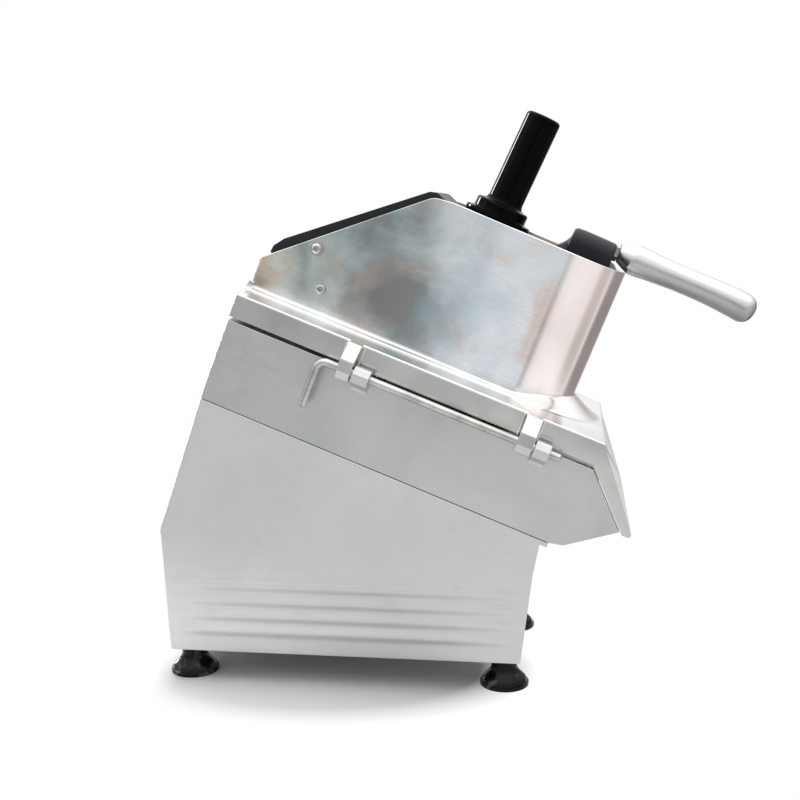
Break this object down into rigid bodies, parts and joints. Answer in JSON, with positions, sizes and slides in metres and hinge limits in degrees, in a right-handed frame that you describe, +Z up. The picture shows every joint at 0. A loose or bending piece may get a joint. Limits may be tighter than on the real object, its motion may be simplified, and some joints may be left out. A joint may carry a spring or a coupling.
{
  "type": "vegetable dicer",
  "caption": "Benchtop electric dicer: cast base on rubber feet, sloping cutting chamber, hinged lid with tall hopper, press lever with handle, round pusher, belt-driven disc.",
  "frame": {"origin": "centre of the footprint of the bounding box, at the height of the feet's undersides", "axes": "+X towards the discharge chute and the handle, -Y the hinge side, +Z up"},
  "size_m": [0.6056, 0.2889, 0.5779],
  "materials": {
    "base_paint": "satin ground casting",
    "cast_aluminium": "satin",
    "polished_aluminium": "hand polished, cloudy",
    "turned_aluminium": "turned satin",
    "steel": "bright",
    "rubber": "glossy",
    "gloss_black": "glossy",
    "matte_black": "matte",
    "white_plastic": "satin",
    "grey_plastic": "satin",
    "winding": "lacquered wire",
    "green_plastic": "glossy",
    "red_plastic": "glossy"
  },
  "bodies": {
    "base": {"base_housing": "base_paint", "chamber_body": "cast_aluminium", "bearing_housing": "cast_aluminium", "motor_upper_bell": "cast_aluminium", "motor_lower_bell": "cast_aluminium", "motor_case": "cast_aluminium", "bottom_plate": "steel", "upper_bearing": "steel", "lower_bearing": "steel", "motor_bracket": "steel", "latch_pin": "steel", "switch_plate": "steel", "foot_bolt_rear_hinge_side": "steel", "foot_bolt_rear_latch_side": "steel", "foot_bolt_front_hinge_side": "steel", "foot_bolt_front_latch_side": "steel", "foot_rear_hinge_side": "rubber", "foot_rear_latch_side": "rubber", "foot_front_hinge_side": "rubber", "foot_front_latch_side": "rubber", "shaft_seal": "rubber", "drive_belt": "rubber", "fan_cover": "matte_black", "cable_gland": "matte_black", "control_box": "grey_plastic", "run_capacitor": "grey_plastic", "switch_block": "grey_plastic", "lid_microswitch": "grey_plastic", "motor_stator": "winding"},
    "disc": {"drive_shaft": "steel", "drive_pulley": "cast_aluminium", "ejector_plate": "cast_aluminium", "cutting_disc": "steel", "disc_blade_1": "steel", "disc_blade_2": "steel", "disc_blade_3": "steel", "disc_knob": "matte_black"},
    "motor": {"motor_rotor": "steel", "motor_pulley": "cast_aluminium", "cooling_fan": "matte_black"},
    "lid": {"lid_casting": "polished_aluminium", "pivot_bolt": "steel", "pivot_nut": "steel", "stop_bolt": "steel", "stop_nut": "steel", "lid_magnet": "matte_black"},
    "lever": {"lever_plate": "matte_black", "presser_block": "white_plastic", "feed_tube": "white_plastic", "handle_stud": "steel", "handle_nut": "steel", "handle_grip": "turned_aluminium", "interlock_tab": "matte_black"},
    "pusher": {"pusher_grip": "gloss_black", "pusher_piston": "white_plastic"},
    "hinge_rod": {"hinge_rod": "steel"},
    "latch": {"latch_lever": "steel"},
    "start_button": {"start_button": "green_plastic"},
    "stop_button": {"stop_button": "red_plastic"}
  },
  "joints": [
    {"name": "lid_hinge", "type": "hinge", "parent": "base", "child": "lid", "pos_m": [-0.03182, -0.135, 0.30269], "axis": [0.9272, 0, -0.3746], "range_deg": [0, 95]},
    {"name": "hinge_rod_slide", "type": "slide", "parent": "base", "child": "hinge_rod", "axis": [-0.9272, 0, 0.3746], "range_m": [0, 0.232]},
    {"name": "lever_lift", "type": "hinge", "parent": "lid", "child": "lever", "pos_m": [-0.13858, 0, 0.44289], "axis": [0, -1, 0], "range_deg": [0, 70]},
    {"name": "pusher_slide", "type": "slide", "parent": "lever", "child": "pusher", "axis": [0.4274, 0, 0.9041], "range_m": [0, 0.165]},
    {"name": "disc_spin", "type": "hinge", "parent": "base", "child": "disc", "pos_m": [-0.01267, 0, 0.20328], "axis": [0.3746, 0, 0.9272], "continuous": true},
    {"name": "motor_spin", "type": "hinge", "parent": "base", "child": "motor", "pos_m": [-0.17272, 0, 0.20754], "axis": [0.3746, 0, 0.9272], "continuous": true},
    {"name": "latch_swing", "type": "hinge", "parent": "base", "child": "latch", "pos_m": [-0.04994, 0.134, 0.27118], "axis": [0.9272, 0, -0.3746], "range_deg": [0, 180]},
    {"name": "start_press", "type": "slide", "parent": "base", "child": "start_button", "axis": [0, -0.9963, 0.0854], "range_m": [0, 0.003], "stiffness_N_per_m": 300},
    {"name": "stop_press", "type": "slide", "parent": "base", "child": "stop_button", "axis": [0, -0.9963, 0.0854], "range_m": [0, 0.003], "stiffness_N_per_m": 300}
  ],
  "couplings": [
    {"joint": "motor_spin", "follows": "disc_spin", "ratio": 5.22}
  ]
}
